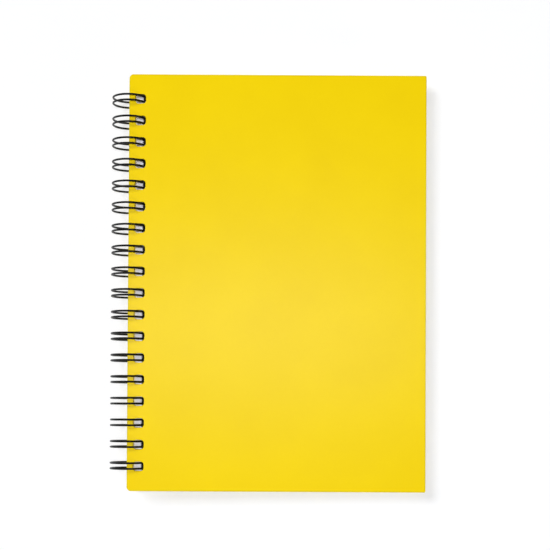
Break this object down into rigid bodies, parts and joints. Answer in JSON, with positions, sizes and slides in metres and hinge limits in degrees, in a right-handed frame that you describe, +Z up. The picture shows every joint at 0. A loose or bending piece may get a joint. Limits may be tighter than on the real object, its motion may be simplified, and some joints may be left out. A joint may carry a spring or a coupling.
{
  "type": "weekly planner",
  "caption": "Closed weekly planner with hard covers and a stack of leaves bound by a twin-loop wire along the left edge.",
  "frame": {"origin": "middle of the planner's box on X and Y, at the surface that it lies on", "axes": "+X from the spine to the fore edge, +Y from the tail to the head, +Z up out of the front cover"},
  "size_m": [0.1858, 0.245, 0.0207],
  "materials": {
    "cover_wrap": "satin",
    "board": "matte",
    "endpaper": "matte",
    "leaves": "matte",
    "wire": "satin"
  },
  "bodies": {
    "back_cover": {"back_wrap": "cover_wrap", "back_board": "board", "back_endpaper": "endpaper"},
    "leaves_and_wire": {"page_block": "leaves", "wire_binding": "wire"},
    "front_cover": {"front_wrap": "cover_wrap", "front_board": "board", "front_endpaper": "endpaper"}
  },
  "joints": [
    {"name": "back_cover_hinge", "type": "hinge", "parent": "back_cover", "child": "leaves_and_wire", "pos_m": [-0.08254, 0, 0.01032], "axis": [0, -1, 0], "range_deg": [0, 182.66]},
    {"name": "front_cover_hinge", "type": "hinge", "parent": "leaves_and_wire", "child": "front_cover", "pos_m": [-0.08254, 0, 0.01032], "axis": [0, -1, 0], "range_deg": [0, 182.66]}
  ]
}
